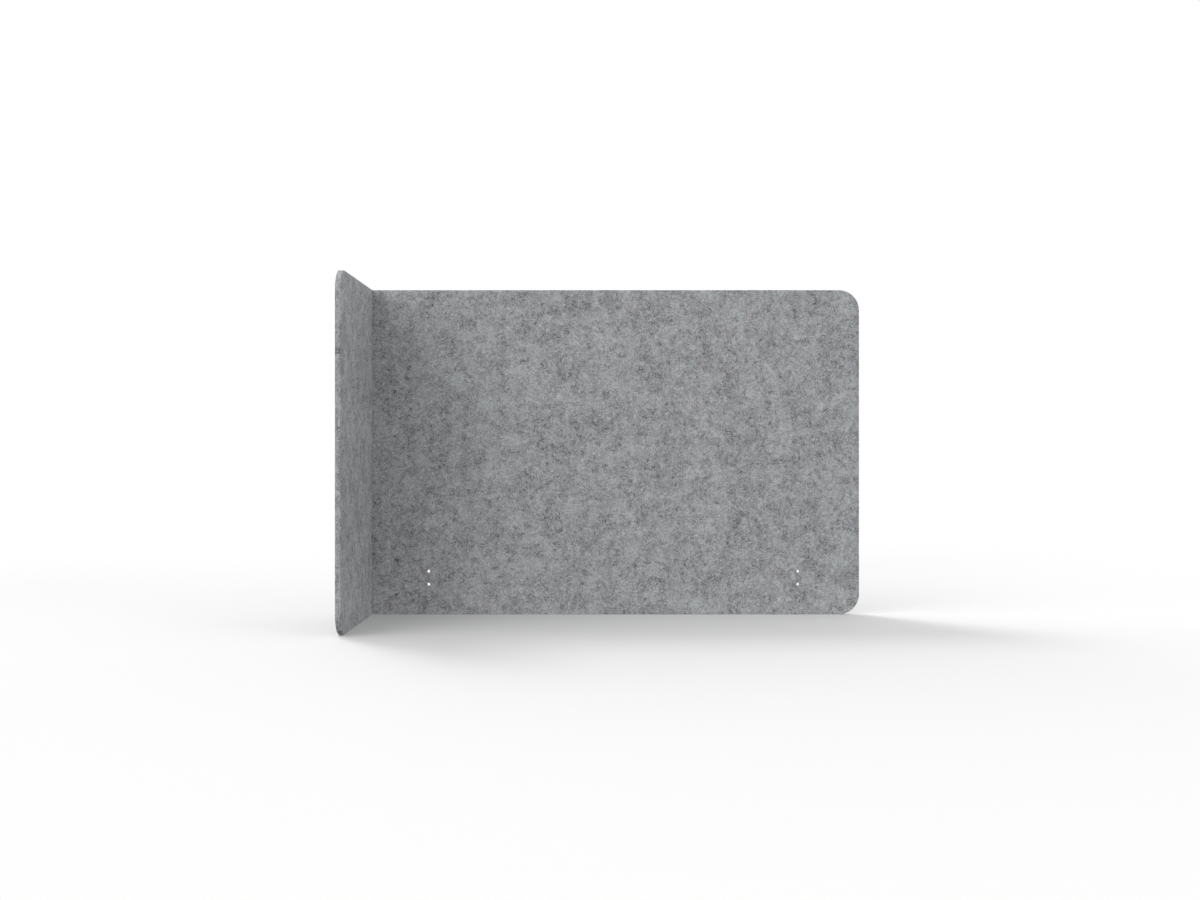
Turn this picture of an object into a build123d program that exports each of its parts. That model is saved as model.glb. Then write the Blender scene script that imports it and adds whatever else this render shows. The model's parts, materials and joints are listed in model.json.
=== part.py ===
from build123d import *

import os
from math import radians, tan

# L-shaped acoustic screen for a desk: one board of pressed felt, grooved down its inner face and folded.
# Millimetres. +Z is up, the long side faces -Y and the return comes forward at its left end.
# The origin is the middle of the floor space that the folded screen takes, at the height of its base.

# Board
board_thickness = 12
screen_height = 800
free_corner_radius = 50

# Inner lengths of the two leaves, from the closed crease to the free end
long_inner_length = 1200
return_inner_length = 400

# Fold: a V-groove in the inner face leaves a thin outer skin, which bends as the hinge
fold_angle = 90
skin_thickness = 1.5
groove_relief = 0.4

# Holes for the desk brackets, in two upright pairs low on the long leaf
bracket_hole_diameter = 8
bracket_hole_pitch = 32
bracket_hole_height = 74
bracket_inset = 150

# The groove's walls are mitres of half the fold, and they meet at the hinge line, under the skin
groove_depth = board_thickness - skin_thickness
mitre_run = groove_depth * tan(radians(fold_angle / 2))

# Floor space of the folded screen, and the foot of the hinge line in it
outer_width = long_inner_length + mitre_run + skin_thickness
outer_depth = return_inner_length + mitre_run + skin_thickness
hinge_foot = Pos(skin_thickness - outer_width / 2, outer_depth / 2 - skin_thickness, 0)


def flat_leaf(inner_length):
    """A leaf as it lies in the flat blank: the hinge line stands at x = 0, and the skin is on the +Y side.
    The groove is cut wider than the mitre by its relief, half on each leaf, so that the fold closes square."""
    free_end = mitre_run + inner_length
    with BuildPart() as leaf:
        with BuildSketch():
            with BuildLine():
                Polyline(
                    (0, 0),
                    (0, skin_thickness),
                    (free_end, skin_thickness),
                    (free_end, -groove_depth),
                    (mitre_run + groove_relief / 2, -groove_depth),
                    close=True,
                )
            make_face()
        extrude(amount=screen_height)
        free_corners = leaf.edges().filter_by(Axis.Y).group_by(Axis.X)[-1]
        fillet(free_corners, free_corner_radius)
    return leaf.part


def bracket_holes():
    """The four through holes of the long leaf, as plugs to cut away: each pair stands in from an outer end
    of the folded screen, one hole above the other."""
    pair_spacing = outer_width - 2 * bracket_inset
    pattern_middle = outer_width / 2 - skin_thickness
    pattern_height = bracket_hole_height + bracket_hole_pitch / 2
    with BuildPart() as holes:
        with BuildSketch(Plane.XZ):
            with Locations((pattern_middle, pattern_height)):
                with GridLocations(pair_spacing, bracket_hole_pitch, 2, 2):
                    Circle(bracket_hole_diameter / 2)
        extrude(amount=board_thickness, both=True)
    return holes.part


def long_panel():
    """The long leaf keeps the place that it has in the blank."""
    return hinge_foot * (flat_leaf(long_inner_length) - bracket_holes())


def return_panel():
    """The return lies on the other side of the hinge line in the blank, and is folded forward about it."""
    in_blank = mirror(flat_leaf(return_inner_length), about=Plane.YZ)
    return hinge_foot * Rot(0, 0, fold_angle) * in_blank


def fold_skin():
    """The outer skin round the folded corner: a sector about the hinge line, from one leaf to the other."""
    with BuildPart() as skin:
        with BuildSketch():
            with BuildLine():
                corner = CenterArc((0, 0), skin_thickness, start_angle=90, arc_size=fold_angle)
                Line((0, 0), corner @ 0)
                Line(corner @ 1, (0, 0))
            make_face()
        extrude(amount=screen_height)
    return hinge_foot * skin.part


os.makedirs("parts", exist_ok=True)
export_step(long_panel(), "parts/long_panel.step")
export_step(return_panel(), "parts/return_panel.step")
export_step(fold_skin(), "parts/fold_skin.step")
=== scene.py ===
import json
import math

import bmesh
import bpy
import numpy as np
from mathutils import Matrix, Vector


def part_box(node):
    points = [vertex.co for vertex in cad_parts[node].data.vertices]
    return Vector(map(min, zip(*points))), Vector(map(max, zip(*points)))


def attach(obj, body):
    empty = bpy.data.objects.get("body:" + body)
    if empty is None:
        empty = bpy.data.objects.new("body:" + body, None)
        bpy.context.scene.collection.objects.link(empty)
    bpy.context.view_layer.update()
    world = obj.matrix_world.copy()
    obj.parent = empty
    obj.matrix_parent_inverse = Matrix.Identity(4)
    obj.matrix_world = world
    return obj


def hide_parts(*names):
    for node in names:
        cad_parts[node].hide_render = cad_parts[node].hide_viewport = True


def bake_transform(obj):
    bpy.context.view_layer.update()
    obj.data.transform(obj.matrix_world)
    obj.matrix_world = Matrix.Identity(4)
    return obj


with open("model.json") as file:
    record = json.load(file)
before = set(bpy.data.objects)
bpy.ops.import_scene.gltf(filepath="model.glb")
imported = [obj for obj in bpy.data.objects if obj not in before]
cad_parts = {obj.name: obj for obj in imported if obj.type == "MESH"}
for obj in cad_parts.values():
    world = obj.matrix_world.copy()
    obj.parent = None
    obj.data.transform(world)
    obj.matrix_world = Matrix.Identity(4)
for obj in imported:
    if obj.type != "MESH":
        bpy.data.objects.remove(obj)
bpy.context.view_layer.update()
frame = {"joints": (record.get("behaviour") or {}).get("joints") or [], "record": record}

# The long leaf is the part of the board that stands square to the user. It is 12 mm of pressed
# felt, cut with a knife, so faces and cut edges are the same marl of light and dark grey fibres.
# Plain holes near its base take the desk brackets, and its far end has rounded corners.
long_low, long_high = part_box("long_panel")
hinge_x, hinge_y, hinge_z = frame["joints"][0]["pos_m"]
long_length = long_high.x - hinge_x
board_thickness = long_high.y - long_low.y
board_height = long_high.z - long_low.z
skin_thickness = long_high.y - hinge_y
groove_depth = board_thickness - skin_thickness
groove_relief = 0.0001
half_bend = skin_thickness * math.pi / 4
free_corner_radius = 0.050
edge_softness = 0.0009
bracket_mounts = [m for m in frame["record"]["mounts"] if m["kind"] == "bolt_pattern"]
hole_radius = bracket_mounts[0]["dims"]["hole_r_mm"] / 1000
hole_pitch = bracket_mounts[0]["dims"]["spacing_y_mm"] / 1000
hole_places = [
    (mount["pos_m"][0] - hinge_x, mount["pos_m"][2] + side * hole_pitch / 2)
    for mount in bracket_mounts
    for side in (-1, 1)
]

# The mesh is a grid, whose lines stand a grid step apart, or closer where that gives fewer than
# the fewest steps. The groove's wall is worked into a margin along the fold, and each hole into a
# square that reaches the hole's margin from its centre.
grid_step = 0.012
fewest_steps = 8
fold_margin = 0.030
hole_margin = 0.011
weld_reach = 1e-6
sharp_edge_angle = math.radians(35)


def drawn_in(depth):
    """How far the cut outline is drawn in at a depth below the outer face: the soft edges are
    quarter rounds at both faces, and between them the cut is straight."""
    from_face = np.minimum(depth, board_thickness - depth)
    short = np.clip(edge_softness - from_face, 0, None)
    return edge_softness - np.sqrt(np.clip(edge_softness**2 - short**2, 0, None))


def fold_wall(depth):
    """How far the wall of the groove stands from the hinge line at a depth: nothing in the skin,
    then a mitre with its half of the relief, and at the inner face the draw-in of a soft edge."""
    share = np.clip((depth - skin_thickness) / groove_depth, 0, None)
    at_inner_face = np.where(depth > board_thickness / 2, drawn_in(depth), 0)
    return share * (groove_depth + groove_relief / 2) + at_inner_face


def cut_depths(rounds=5):
    """The depths at which the cut edge has a row of points: close together round each soft edge,
    by equal turns of the quarter round, and evenly spaced from the skin's inner side to the far
    soft edge."""
    turn = np.linspace(0, math.pi / 2, rounds)
    soft = edge_softness * (1 - np.cos(turn))
    middle = np.linspace(skin_thickness, board_thickness - edge_softness, rounds)[:-1]
    return np.concatenate([soft, middle, board_thickness - soft[::-1]])


def on_blank(along, height, depth, length):
    """Where a point of the square blank lies on the cut leaf, as (along, depth, height). Each free
    corner block is a square pressed onto a quarter disc: u keeps u * sqrt(1 - v*v/2), and v the
    same with u. The disc's radius is the corner's less the outline's draw-in. The fold end is
    pushed out to the groove's wall, by a share that falls from one at the hinge line to nothing at
    the fold margin."""
    along, height, depth = np.broadcast_arrays(along, height, depth)
    inner_length = length - free_corner_radius
    middle = board_height / 2
    straight = middle - free_corner_radius
    u = np.clip((along - inner_length) / free_corner_radius, 0, 1)
    v = np.clip((np.abs(height - middle) - straight) / free_corner_radius, 0, 1)
    reach = free_corner_radius - drawn_in(depth)
    near_fold = np.clip(1 - along / fold_margin, 0, 1)
    round_u = np.where(u > 0, u * np.sqrt(1 - v * v / 2), 0)
    round_v = np.where(u > 0, v * np.sqrt(1 - u * u / 2), v)
    out_along = np.minimum(along, inner_length) + round_u * reach + fold_wall(depth) * near_fold
    from_middle = np.clip(height - middle, -straight, straight)
    out_height = from_middle + np.sign(height - middle) * round_v * reach
    return np.stack([out_along, depth, out_height + middle], axis=-1)


def lines_through(stops):
    """Grid lines that pass through every stop. Each stretch between two stops is cut evenly, into
    steps of the grid or into the fewest that carry a hole or a rounded corner."""
    runs = [
        np.linspace(start, end, max(fewest_steps, round((end - start) / grid_step)), endpoint=False)
        for start, end in zip(stops, stops[1:])
    ]
    return np.concatenate([*runs, [stops[-1]]])


def border(along, height):
    """The border points of the grid of these lines as (along, height), in one closed round."""
    grid = np.stack(np.meshgrid(along, height, indexing="ij"), axis=-1)
    return np.concatenate([grid[:, 0], grid[-1, 1:], grid[-2::-1, -1], grid[0, -2:0:-1]])


def quads(shape, closed=False):
    """The four-sided faces of a grid of points, as point numbers. A closed grid joins its last row
    of points to its first."""
    number = np.arange(shape[0] * shape[1]).reshape(shape)
    if closed:
        number = np.vstack([number, number[:1]])
    corners = number[:-1, :-1], number[1:, :-1], number[1:, 1:], number[:-1, 1:]
    return np.stack(corners, axis=-1).reshape(-1, 4)


def patch(points, closed=False):
    """A grid of points and its faces, as one patch of a surface."""
    return points.reshape(-1, 3), quads(points.shape[:2], closed)


def leaf_patches(length, holes):
    """The leaf's surface in patches: its two faces as grids with a square left out round each hole,
    and the cut edge as the grid's border carried through the depth."""
    along_stops = {0, fold_margin, length - free_corner_radius, length}
    height_stops = {0, free_corner_radius, board_height - free_corner_radius, board_height}
    for hole_along, hole_height in holes:
        along_stops |= {hole_along - hole_margin, hole_along + hole_margin}
        height_stops |= {hole_height - hole_margin, hole_height + hole_margin}
    along = lines_through(sorted(along_stops))
    height = lines_through(sorted(height_stops))
    grid_along, grid_height = np.meshgrid(along, height, indexing="ij")
    faces = quads(grid_along.shape)
    face_along = grid_along.ravel()[faces].mean(axis=1)
    face_height = grid_height.ravel()[faces].mean(axis=1)
    kept = np.ones(len(faces), bool)
    for hole_along, hole_height in holes:
        away = np.maximum(np.abs(face_along - hole_along), np.abs(face_height - hole_height))
        kept &= away > hole_margin
    patches = []
    for depth in (0, board_thickness):
        points = on_blank(grid_along, grid_height, depth, length)
        patches.append((points.reshape(-1, 3), faces[kept]))
    rim_along, rim_height = border(along, height).T[:, :, None]
    patches.append(patch(on_blank(rim_along, rim_height, cut_depths(), length), closed=True))
    for hole_along, hole_height in holes:
        beside_along = along[np.abs(along - hole_along) < hole_margin + weld_reach]
        beside_height = height[np.abs(height - hole_height) < hole_margin + weld_reach]
        square = border(beside_along, beside_height) - (hole_along, hole_height)
        patches += hole_patches(hole_along, hole_height, square, length)
    return patches


def hole_patches(hole_along, hole_height, square, length, rings=4):
    """Round one hole: on each face the left-out square's border points are drawn in straight lines
    to the circle at the same bearing, and the bore carries that circle through the depth, with
    soft rims."""
    bearing = np.arctan2(square[:, 1], square[:, 0])
    circle = np.stack([np.cos(bearing), np.sin(bearing)], axis=-1)[:, None, :]
    share = np.linspace(0, 1, rings)[None, :, None]
    patches = []
    for depth in (0, board_thickness):
        rim = (hole_radius + drawn_in(depth)) * circle
        ring = square[:, None, :] * (1 - share) + rim * share
        points = on_blank(hole_along + ring[..., 0], hole_height + ring[..., 1], depth, length)
        patches.append(patch(points, closed=True))
    depths = cut_depths()
    bore = circle * (hole_radius + drawn_in(depths))[None, :, None]
    points = on_blank(hole_along + bore[..., 0], hole_height + bore[..., 1], depths, length)
    patches.append(patch(points, closed=True))
    return patches


def laid_flat(points):
    """The blank's (along, depth, height) to the row frame, for the leaf that keeps its place when
    folded."""
    along, depth, height = points.T
    return np.stack([hinge_x + along, hinge_y + skin_thickness - depth, hinge_z + height], axis=-1)


def long_way(points):
    """Where a point of the long leaf lies in the marl: it starts half a bend from the middle of the
    fold. The bend is the skin's outer side, a quarter turn about the hinge line."""
    return points + (half_bend, 0, 0)


def board_piece(name, patches, place, in_marl):
    """A closed mesh of the patches, which place moves from the blank to the folded screen. Each
    point keeps its place in the marl as the attribute in_blank, so that the marl runs on round the
    bend."""
    patch_points, patch_faces = zip(*patches)
    starts = np.cumsum([0] + [len(points) for points in patch_points])
    points = np.concatenate(patch_points)
    faces = np.concatenate([faces + start for faces, start in zip(patch_faces, starts)])
    mesh = bpy.data.meshes.new(name)
    mesh.from_pydata(place(points).tolist(), [], faces.tolist())
    blank = mesh.attributes.new("in_blank", "FLOAT_VECTOR", "POINT")
    blank.data.foreach_set("vector", in_marl(points).astype(np.float32).ravel())
    shell = bmesh.new()
    shell.from_mesh(mesh)
    bmesh.ops.remove_doubles(shell, verts=shell.verts, dist=weld_reach)
    bmesh.ops.recalc_face_normals(shell, faces=shell.faces)
    shell.to_mesh(mesh)
    shell.free()
    mesh.shade_smooth()
    mesh.set_sharp_from_angle(angle=sharp_edge_angle)
    piece = bpy.data.objects.new(name, mesh)
    bpy.context.scene.collection.objects.link(piece)
    return piece


# The felt's shade goes from 0, all charcoal, by 1, its mean grey, to 2, all pale. A contrast is how
# far one kind of mark moves it, and the balance takes back what the fibres add on the whole. A row
# of strokes says where in the noise they are cut from, their size in metres and their turn, and a
# row of fibres the first and the last of these.
mean_grey = (0.271, 0.280, 0.287)
charcoal_fibre = (0.011, 0.011, 0.011)
pale_fibre = (0.55, 0.567, 0.58)
mauve_tint = (1.03, 0.99, 1.005)
cloud_contrast = 0.40
patch_contrast = 0.18
speck_contrast = 0.34
lay_contrast = 0.12
dark_strokes = ((0.77, 0.016, 0.4), (2.77, 0.014, 1.9), (4.77, 0.011, 1.1), (9.77, 0.011, 2.6))
light_strokes = ((12.77, 0.014, 0.1), (14.77, 0.012, 1.5), (15.77, 0.010, 2.3))
stroke_contrast = 0.18
dark_gathering = 0.7
light_gathering = -0.6
fibre_turns = ((6.77, 0.2), (7.77, 1.3), (8.77, 2.3))
light_fibre_contrast = 0.26
dark_fibre_contrast = 0.22
hair_contrast = 0.20
fibre_balance = -0.30
cut_contrast = 1.3
fineness_through_board = 1.6
noise_mean = 0.5
light_fibre_relief = 0.5
speck_relief = 1.5


def add_node(tree, kind, inputs, **settings):
    """A shader node of a kind, with its settings made and its inputs set, or joined to other
    nodes."""
    made = tree.nodes.new("ShaderNode" + kind)
    for setting, value in settings.items():
        setattr(made, setting, value)
    for socket, value in inputs.items():
        if isinstance(value, bpy.types.NodeSocket):
            tree.links.new(value, made.inputs[socket])
        else:
            made.inputs[socket].default_value = value
    return made


def combine(tree, operation, first, second=0.0, third=0.0):
    """One step of arithmetic on values of the surface."""
    return add_node(tree, "Math", {0: first, 1: second, 2: third}, operation=operation).outputs[0]


def spread(tree, value, low, high, to_low=0.0, to_high=1.0):
    """The value's stretch from low to high, eased onto the stretch from to_low to to_high."""
    inputs = {0: value, 1: low, 2: high, 3: to_low, 4: to_high}
    return add_node(tree, "MapRange", inputs, interpolation_type="SMOOTHSTEP").outputs[0]


def curled(tree, place, size, reach):
    """The place pushed about by a smooth noise of a size, by up to about a third of the reach each
    way."""
    inputs = {"Vector": place, "Scale": 1 / size, "Detail": 1.0}
    drift = add_node(tree, "TexNoise", inputs).outputs["Color"]
    inputs = {0: drift, 1: (noise_mean, noise_mean, noise_mean)}
    way = add_node(tree, "VectorMath", inputs, operation="SUBTRACT").outputs[0]
    push = add_node(tree, "VectorMath", {0: way, "Scale": reach}, operation="SCALE").outputs[0]
    return add_node(tree, "VectorMath", {0: place, 1: push}, operation="ADD").outputs[0]


def felt_noise(tree, place, size, start, long=1.0, turn=0.0, octaves=1.0, carry=0.8):
    """Smooth noise about its mean, with blobs of a size in metres. They are drawn out to so many
    times that size along the board, and turned in its plane. Each further octave has half the size
    and carries on that share of the height. Start is where in the noise the board is cut from."""
    inputs = {
        "Vector": place,
        "Location": (start, start, start),
        "Rotation": (0, turn, 0),
        "Scale": (size * long, size, size),
    }
    spot = add_node(tree, "Mapping", inputs, vector_type="TEXTURE").outputs[0]
    inputs = {"Vector": spot, "Scale": 1.0, "Detail": octaves - 1, "Roughness": carry}
    return add_node(tree, "TexNoise", inputs).outputs[0]


def contour(tree, value, level, width):
    """One on the line where the value is at the level, eased off to nothing at the width to either
    side."""
    off = combine(tree, "ABSOLUTE", combine(tree, "SUBTRACT", value, level))
    return spread(tree, off, low=0, high=width, to_low=1, to_high=0)


def strokes(tree, crimped, place, start, size, turn, gathering):
    """Short curled marks of a few centimetres: the middle contour of a drawn-out noise, kept only
    where a second noise and the gathering are high together."""
    drawn_out = felt_noise(tree, crimped, size, start, long=1.6, turn=turn)
    line = contour(tree, drawn_out, level=noise_mean, width=0.08)
    breaks = felt_noise(tree, place, size=0.012, start=start + 1.1)
    unbroken = combine(tree, "ADD", breaks, gathering)
    return combine(tree, "MULTIPLY", line, spread(tree, unbroken, low=0.44, high=0.56))


def marl_felt():
    """Needled and pressed felt, in the blank's own metres, with its pattern somewhat finer through
    the board. The shade is one for the mean grey, and adds up slow clouds, soft patches, specks and
    the lay of the web. Dark and light curled strokes follow, which gather in the patches of their
    own tone, and fine light and dark fibres. On the cut edge the felt has more contrast."""
    felt = bpy.data.materials.new("marl_felt")
    felt.use_nodes = True
    tree = felt.node_tree
    shader = tree.nodes["Principled BSDF"]
    in_blank = add_node(tree, "Attribute", {}, attribute_name="in_blank").outputs["Vector"]
    inputs = {0: in_blank, 1: (1, fineness_through_board, 1)}
    place = add_node(tree, "VectorMath", inputs, operation="MULTIPLY").outputs[0]
    loose = curled(tree, place, size=0.025, reach=0.030)
    crimped = curled(tree, place, size=0.010, reach=0.014)
    cloud = felt_noise(tree, loose, size=0.090, start=0.31, octaves=2)
    patches = felt_noise(tree, loose, size=0.030, start=0.13, octaves=2)
    specks = felt_noise(tree, place, size=0.003, start=0.57)
    lay = felt_noise(tree, place, size=0.004, start=3.33, long=25.0, turn=math.pi / 2)

    shade = 1.0
    soft_marks = (
        (cloud, cloud_contrast),
        (patches, patch_contrast),
        (specks, speck_contrast),
        (lay, lay_contrast),
    )
    for noise, contrast in soft_marks:
        off_mean = combine(tree, "SUBTRACT", noise, noise_mean)
        shade = combine(tree, "MULTIPLY_ADD", off_mean, contrast, shade)
    below_mean = combine(tree, "SUBTRACT", noise_mean, patches)
    in_dark = combine(tree, "MULTIPLY", below_mean, dark_gathering)
    in_light = combine(tree, "MULTIPLY", in_dark, light_gathering)
    for start, size, turn in dark_strokes:
        marks = strokes(tree, crimped, place, start, size, turn, in_dark)
        shade = combine(tree, "MULTIPLY_ADD", marks, -stroke_contrast, shade)
    for start, size, turn in light_strokes:
        marks = strokes(tree, crimped, place, start, size, turn, in_light)
        shade = combine(tree, "MULTIPLY_ADD", marks, stroke_contrast, shade)
    fuzz = 0.0
    dark_part = spread(tree, patches, low=0.62, high=0.38)
    for start, turn in fibre_turns:
        tufts = felt_noise(tree, crimped, size=0.0024, start=start, long=4.0, turn=turn)
        light = contour(tree, tufts, level=0.52, width=0.12)
        dark = combine(tree, "MULTIPLY", contour(tree, tufts, level=0.30, width=0.10), dark_part)
        wisps = felt_noise(tree, crimped, size=0.0009, start=start, long=8.0, turn=turn)
        hair = contour(tree, wisps, level=0.52, width=0.12)
        shade = combine(tree, "MULTIPLY_ADD", light, light_fibre_contrast, shade)
        shade = combine(tree, "MULTIPLY_ADD", dark, -dark_fibre_contrast, shade)
        shade = combine(tree, "MULTIPLY_ADD", hair, hair_contrast, shade)
        raised = combine(tree, "MULTIPLY_ADD", light, light_fibre_relief, hair)
        fuzz = combine(tree, "ADD", fuzz, raised)
    shade = combine(tree, "ADD", shade, fibre_balance)
    depth = add_node(tree, "SeparateXYZ", {0: in_blank}).outputs["Y"]
    face = board_thickness / 2
    from_middle = combine(tree, "ABSOLUTE", combine(tree, "SUBTRACT", depth, face))
    cut_ends, face_starts = face - edge_softness, face - edge_softness / 3
    cut = spread(tree, from_middle, cut_ends, face_starts, to_low=cut_contrast, to_high=1.0)
    off_mean = combine(tree, "SUBTRACT", shade, 1.0)
    shade = combine(tree, "MULTIPLY_ADD", off_mean, cut, 1.0)

    mean_on_ramp = 0.5
    greys = add_node(tree, "ValToRGB", {0: combine(tree, "MULTIPLY", shade, mean_on_ramp)})
    ramp = greys.color_ramp
    ramp.elements[0].color = (*charcoal_fibre, 1)
    ramp.elements[1].color = (*pale_fibre, 1)
    ramp.elements.new(mean_on_ramp).color = (*mean_grey, 1)
    grey = greys.outputs[0]
    tint_patches = felt_noise(tree, loose, size=0.035, start=5.19)
    mauve = spread(tree, tint_patches, low=0.64, high=0.76)
    tinted = add_node(tree, "VectorMath", {0: grey, 1: mauve_tint}, operation="MULTIPLY").outputs[0]
    inputs = {"Factor": mauve, 6: grey, 7: tinted}
    colour = add_node(tree, "Mix", inputs, data_type="RGBA").outputs[2]
    tree.links.new(colour, shader.inputs["Base Color"])
    roughness = spread(tree, fuzz, low=0, high=2, to_low=0.96, to_high=0.86)
    tree.links.new(roughness, shader.inputs["Roughness"])
    height = combine(tree, "MULTIPLY_ADD", specks, speck_relief, fuzz)
    bump = add_node(tree, "Bump", {"Height": height, "Distance": 0.0003, "Strength": 0.5})
    tree.links.new(bump.outputs[0], shader.inputs["Normal"])
    shader.inputs["Specular IOR Level"].default_value = 0.1
    shader.inputs["Sheen Weight"].default_value = 0.03
    shader.inputs["Sheen Roughness"].default_value = 0.5
    return felt


felt = marl_felt()
long_leaf = board_piece("long_leaf", leaf_patches(long_length, hole_places), laid_flat, long_way)
long_leaf.data.materials.append(felt)
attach(long_leaf, "long_side")
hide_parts("long_panel")

# The return is the short leaf of the same board, cut with the long one and folded forward about
# the groove. It has the same faces, cut edge and rounded free corners, and no holes.
return_low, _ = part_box("return_panel")
return_length = hinge_y - return_low.y


def folded_forward(points):
    """The blank's (along, depth, height) to the row frame, for the leaf that is turned square about
    the hinge line: what lay along the blank comes forward, and its outer face looks left."""
    along, depth, height = points.T
    return np.stack([hinge_x - skin_thickness + depth, hinge_y - along, hinge_z + height], axis=-1)


def other_way(points):
    """Where a point of the return lies in the marl: the other way from the fold than the long
    leaf."""
    return (points + (half_bend, 0, 0)) * (-1, 1, 1)


return_leaf = board_piece("return_leaf", leaf_patches(return_length, []), folded_forward, other_way)
return_leaf.data.materials.append(felt)
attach(return_leaf, "return_side")
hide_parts("return_panel")

# The skin is what the groove leaves of the board down the fold: 1.5 mm of the same felt, uncut. It
# goes round the outside of the corner when the screen is folded, and lies flat when it is opened.
fold_turns = 9


def skin_patches():
    """The skin in patches of (turn, depth, height): a profile that goes out from the hinge line at
    the base, round the soft edge, up the outer side and back in at the top, carried round the fold
    by equal turns, and at each end of the turn a strip from the profile in to the hinge line."""
    depths = cut_depths()
    soft = depths[depths <= edge_softness][::-1]
    base = np.stack([soft, drawn_in(soft)], axis=-1)
    rise = lines_through([edge_softness, board_height - edge_softness])[1:-1]
    side = np.stack([np.zeros(len(rise)), rise], axis=-1)
    top = base[::-1] * (1, -1) + (0, board_height)
    foot = (skin_thickness, 0), (skin_thickness, board_height)
    depth, height = np.concatenate([foot[:1], base, side, top, foot[1:]]).T
    turn = np.linspace(0, math.pi / 2, fold_turns)[:, None]
    sweep = np.stack(np.broadcast_arrays(turn, depth, height), axis=-1)
    no_turn, at_hinge = np.zeros(len(height)), np.full(len(height), skin_thickness)
    hinge_line = np.stack([no_turn, at_hinge, height], axis=-1)
    ends = [patch(np.stack([row, hinge_line])) for row in (sweep[0], sweep[-1])]
    return [patch(sweep), *ends]


def round_the_fold(points):
    """(turn, depth, height) to the row frame: a circle about the hinge line, of the skin's
    thickness less the depth, from the long leaf's outer face at no turn to the return's at a
    quarter turn."""
    turn, depth, height = points.T
    radius = skin_thickness - depth
    x = hinge_x - radius * np.sin(turn)
    y = hinge_y + radius * np.cos(turn)
    return np.stack([x, y, hinge_z + height], axis=-1)


def round_the_bend(points):
    """Where a point of the skin lies in the marl: evenly with the turn, from half a bend on the
    long leaf's side to half a bend the other way."""
    turn, depth, height = points.T
    return np.stack([half_bend * (1 - 4 * turn / math.pi), depth, height], axis=-1)


folded_skin = board_piece("folded_skin", skin_patches(), round_the_fold, round_the_bend)
folded_skin.data.materials.append(felt)
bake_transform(folded_skin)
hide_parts("fold_skin")

# The floor is a plain sweep. Close to the screen it is matte paint, of a grey that the light makes
# white, and takes the shadow. Further off it goes over into the white of the studio behind it. As
# in the photograph, it gives the screen a dim and even light, not darker near the base.
floor_reach = 40.0
floor_grey = 0.588
floor_glow = 0.36
sweep_starts, sweep_ends = 1.7, 3.6
plain_white = (1, 1, 1, 1)
floor_mesh = bpy.data.meshes.new("floor")
floor_corners = [
    (x * floor_reach, y * floor_reach, 0) for x, y in ((-1, -1), (1, -1), (1, 1), (-1, 1))
]
floor_mesh.from_pydata(floor_corners, [], [(0, 1, 2, 3)])
floor = bpy.data.objects.new("floor", floor_mesh)
bpy.context.scene.collection.objects.link(floor)


def seen_white(tree):
    """One on the rays that bring the background to the camera, straight, by a mirror or through
    glass."""
    path = add_node(tree, "LightPath", {}).outputs
    straight_or_mirrored = combine(tree, "MAXIMUM", path["Is Camera Ray"], path["Is Glossy Ray"])
    return combine(tree, "MAXIMUM", straight_or_mirrored, path["Is Transmission Ray"])


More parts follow.
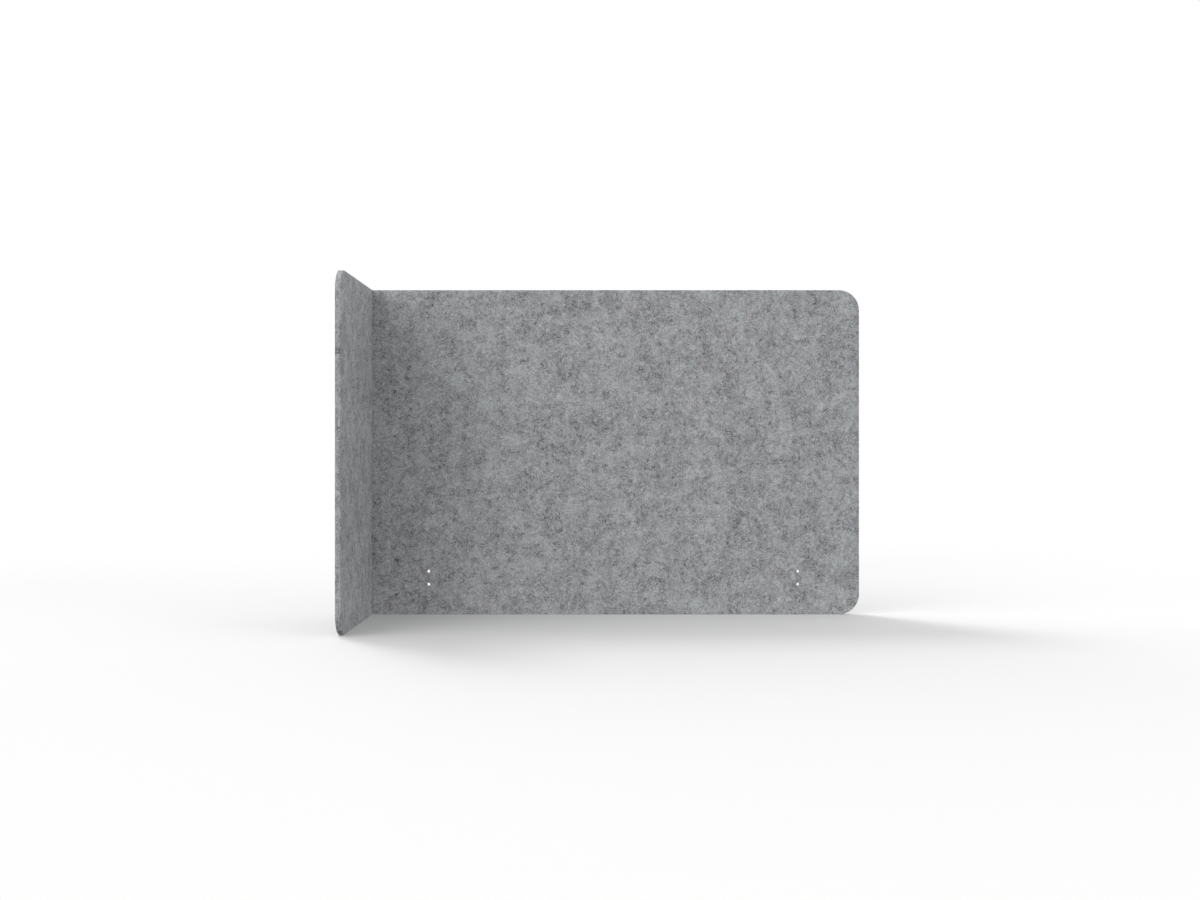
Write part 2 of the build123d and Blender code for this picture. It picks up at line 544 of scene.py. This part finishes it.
def floor_paint():
    """Matte paint, and towards the far floor a mix with plain white by the distance from the
    screen. Rays other than those that show the floor find a dim and even glow in its place."""
    paint = bpy.data.materials.new("floor_paint")
    paint.use_nodes = True
    tree = paint.node_tree
    matte = tree.nodes["Principled BSDF"]
    matte.inputs["Base Color"].default_value = (floor_grey, floor_grey, floor_grey, 1)
    matte.inputs["Roughness"].default_value = 1.0
    matte.inputs["Specular IOR Level"].default_value = 0.0
    spot = add_node(tree, "TexCoord", {}).outputs["Object"]
    away = add_node(tree, "VectorMath", {0: spot}, operation="LENGTH").outputs["Value"]
    far = spread(tree, away, sweep_starts, sweep_ends)
    white = add_node(tree, "Emission", {"Color": plain_white, "Strength": 1.0}).outputs[0]
    glow = add_node(tree, "Emission", {"Color": plain_white, "Strength": floor_glow}).outputs[0]
    seen = add_node(tree, "MixShader", {0: far, 1: matte.outputs[0], 2: white}).outputs[0]
    surface = add_node(tree, "MixShader", {0: seen_white(tree), 1: glow, 2: seen}).outputs[0]
    tree.links.new(surface, tree.nodes["Material Output"].inputs["Surface"])
    return paint


floor_mesh.materials.append(floor_paint())

# The light is a white studio all round, a soft key from behind and to the left, high enough to
# throw the short shadow in front of the long leaf, and wide lamps that fill from the front, the
# left and behind. On upright faces it adds up to about one: a colour renders about as written.
key_lamp = (220, 52, 18, 0.37)
fill_lamps = (
    (330, 12, 30, 0.205),
    (60, 12, 30, 0.20),
    (300, 40, 40, 0.225),
    (225, 20, 60, 0.37),
    (180, 20, 60, 0.14),
)


def sun_lamp(name, bearing, height, width, strength):
    """A far lamp. The bearing is the way round to it from the camera's side to the right, and
    height and width are its angles above the floor and across, all in degrees. The strength is the
    light it throws on a white card that faces it."""
    lamp = bpy.data.lights.new(name, "SUN")
    lamp.energy = strength * math.pi
    lamp.angle = math.radians(width)
    round_about, up = math.radians(bearing), math.radians(height)
    towards = (
        math.sin(round_about) * math.cos(up),
        -math.cos(round_about) * math.cos(up),
        math.sin(up),
    )
    holder = bpy.data.objects.new(name, lamp)
    holder.rotation_euler = Vector(towards).to_track_quat("Z", "Y").to_euler()
    bpy.context.scene.collection.objects.link(holder)


sun_lamp("key_lamp", *key_lamp)
for bearing, height, width, strength in fill_lamps:
    sun_lamp(f"fill_lamp_{bearing}_{height}", bearing, height, width, strength)

studio = bpy.data.worlds.new("studio")
bpy.context.scene.world = studio
studio.use_nodes = True
studio.node_tree.nodes["Background"].inputs["Color"].default_value = plain_white

# The camera stands level, 3.2 m in front of the long leaf and about half as high as the screen. It
# looks square at it, so that the long leaf is seen true and the return runs straight towards it.
view = bpy.data.cameras.new("view")
view.sensor_width = 36.0
view.lens = 39.17
camera = bpy.data.objects.new("view", view)
camera.location = (-0.033, -3.027, 0.4055)
camera.rotation_euler = (math.pi / 2, 0, 0)
bpy.context.scene.collection.objects.link(camera)
bpy.context.scene.camera = camera
bpy.context.scene.view_settings.view_transform = "Standard"
